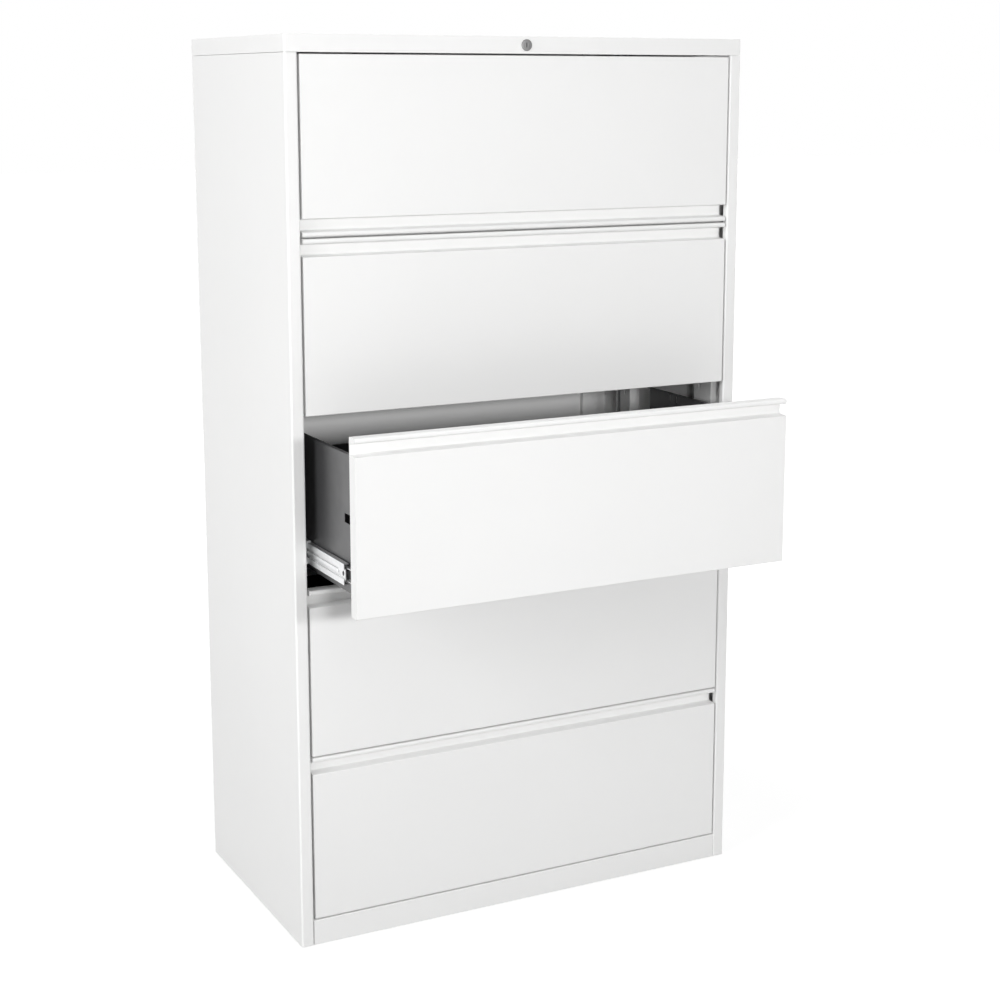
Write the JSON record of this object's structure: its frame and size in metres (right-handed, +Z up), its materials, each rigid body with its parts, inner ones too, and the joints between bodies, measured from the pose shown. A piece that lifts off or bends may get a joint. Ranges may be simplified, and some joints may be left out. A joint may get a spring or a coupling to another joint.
{
  "type": "lateral filing cabinet",
  "caption": "Tall white steel lateral filing cabinet with pull-out file drawers on telescoping slides, a lift-up receding door on top and a gang lock in the top rail.",
  "frame": {"origin": "on the floor under the middle of the case footprint, which the open drawer does not count in", "axes": "+Z up, +X to the right as seen from the front, +Y towards the back"},
  "size_m": [0.9144, 0.7027, 1.627],
  "materials": {
    "white_paint": "satin powder coat",
    "black_paint": "satin powder coat",
    "zinc_steel": "bright zinc plate",
    "lock_metal": "satin nickel plate",
    "bare_iron": "dull black",
    "nylon": "moulded",
    "foot_steel": "zinc plate"
  },
  "bodies": {
    "case": {"left_side_panel": "white_paint", "right_side_panel": "white_paint", "top_panel": "white_paint", "back_panel": "white_paint", "base_pan": "white_paint", "levelling_feet": "foot_steel", "base_rail": "white_paint", "counterweight": "bare_iron", "front_left_upright": "white_paint", "front_right_upright": "white_paint", "rear_left_upright": "white_paint", "rear_right_upright": "white_paint", "shelf": "white_paint", "door_guides": "zinc_steel", "lock_housing": "lock_metal", "lock_nut": "zinc_steel", "lock_bar_keepers": "zinc_steel", "lock_rod_guides": "zinc_steel", "drawer_5_outer_slides": "zinc_steel", "drawer_4_outer_slides": "zinc_steel", "drawer_3_outer_slides": "zinc_steel", "drawer_2_outer_slides": "zinc_steel"},
    "door_carriage": {"door_carriages": "nylon", "door_tie_bar": "zinc_steel"},
    "door": {"door_front": "white_paint", "door_liner": "white_paint", "door_pins": "zinc_steel"},
    "lock_plug": {"lock_plug": "lock_metal", "lock_cam": "zinc_steel"},
    "lock_bar": {"lock_bar": "zinc_steel"},
    "lock_rod": {"lock_rod": "zinc_steel", "lock_hooks": "zinc_steel"},
    "drawer_5": {"drawer_5_front": "white_paint", "drawer_5_liner": "black_paint", "drawer_5_tub": "black_paint", "drawer_5_back": "black_paint", "drawer_5_striker": "zinc_steel", "drawer_5_inner_slides": "zinc_steel"},
    "drawer_5_middle": {"drawer_5_middle_slides": "zinc_steel"},
    "drawer_4": {"drawer_4_front": "white_paint", "drawer_4_liner": "black_paint", "drawer_4_tub": "black_paint", "drawer_4_back": "black_paint", "drawer_4_striker": "zinc_steel", "drawer_4_inner_slides": "zinc_steel"},
    "drawer_4_middle": {"drawer_4_middle_slides": "zinc_steel"},
    "drawer_3": {"drawer_3_front": "white_paint", "drawer_3_liner": "black_paint", "drawer_3_tub": "black_paint", "drawer_3_back": "black_paint", "drawer_3_striker": "zinc_steel", "drawer_3_inner_slides": "zinc_steel"},
    "drawer_3_middle": {"drawer_3_middle_slides": "zinc_steel"},
    "drawer_2": {"drawer_2_front": "white_paint", "drawer_2_liner": "black_paint", "drawer_2_tub": "black_paint", "drawer_2_back": "black_paint", "drawer_2_striker": "zinc_steel", "drawer_2_inner_slides": "zinc_steel"},
    "drawer_2_middle": {"drawer_2_middle_slides": "zinc_steel"}
  },
  "joints": [
    {"name": "drawer_5_slide", "type": "slide", "parent": "case", "child": "drawer_5", "axis": [0, -1, 0], "range_m": [0, 0.39]},
    {"name": "drawer_5_middle_slide", "type": "slide", "parent": "case", "child": "drawer_5_middle", "axis": [0, -1, 0], "range_m": [0, 0.312]},
    {"name": "drawer_4_slide", "type": "slide", "parent": "case", "child": "drawer_4", "axis": [0, -1, 0], "range_m": [0, 0.39]},
    {"name": "drawer_4_middle_slide", "type": "slide", "parent": "case", "child": "drawer_4_middle", "axis": [0, -1, 0], "range_m": [0, 0.312]},
    {"name": "drawer_3_slide", "type": "slide", "parent": "case", "child": "drawer_3", "axis": [0, -1, 0], "range_m": [-0.2137, 0.1763]},
    {"name": "drawer_3_middle_slide", "type": "slide", "parent": "case", "child": "drawer_3_middle", "axis": [0, -1, 0], "range_m": [-0.17096, 0.14104]},
    {"name": "drawer_2_slide", "type": "slide", "parent": "case", "child": "drawer_2", "axis": [0, -1, 0], "range_m": [0, 0.39]},
    {"name": "drawer_2_middle_slide", "type": "slide", "parent": "case", "child": "drawer_2_middle", "axis": [0, -1, 0], "range_m": [0, 0.312]},
    {"name": "door_slide", "type": "slide", "parent": "case", "child": "door_carriage", "axis": [0, 1, 0], "range_m": [0, 0.262]},
    {"name": "door_lift", "type": "hinge", "parent": "door_carriage", "child": "door", "pos_m": [0, -0.2275, 1.576], "axis": [-1, 0, 0], "range_deg": [0, 90]},
    {"name": "lock_turn", "type": "hinge", "parent": "case", "child": "lock_plug", "pos_m": [0, -0.2445, 1.612], "axis": [0, 1, 0], "range_deg": [0, 90]},
    {"name": "lock_bar_slide", "type": "slide", "parent": "case", "child": "lock_bar", "axis": [1, 0, 0], "range_m": [0, 0.0164]},
    {"name": "lock_rod_lift", "type": "slide", "parent": "case", "child": "lock_rod", "axis": [0, 0, 1], "range_m": [0, 0.012]}
  ],
  "couplings": [
    {"joint": "drawer_5_middle_slide", "follows": "drawer_5_slide", "ratio": 0.8},
    {"joint": "drawer_4_middle_slide", "follows": "drawer_4_slide", "ratio": 0.8},
    {"joint": "drawer_3_middle_slide", "follows": "drawer_3_slide", "ratio": 0.8},
    {"joint": "drawer_2_middle_slide", "follows": "drawer_2_slide", "ratio": 0.8},
    {"joint": "door_lift", "follows": "door_slide", "rad_per_m": 5.9954},
    {"joint": "lock_turn", "follows": "lock_bar_slide", "rad_per_m": 95.78},
    {"joint": "lock_rod_lift", "follows": "lock_bar_slide", "ratio": 0.73171}
  ]
}
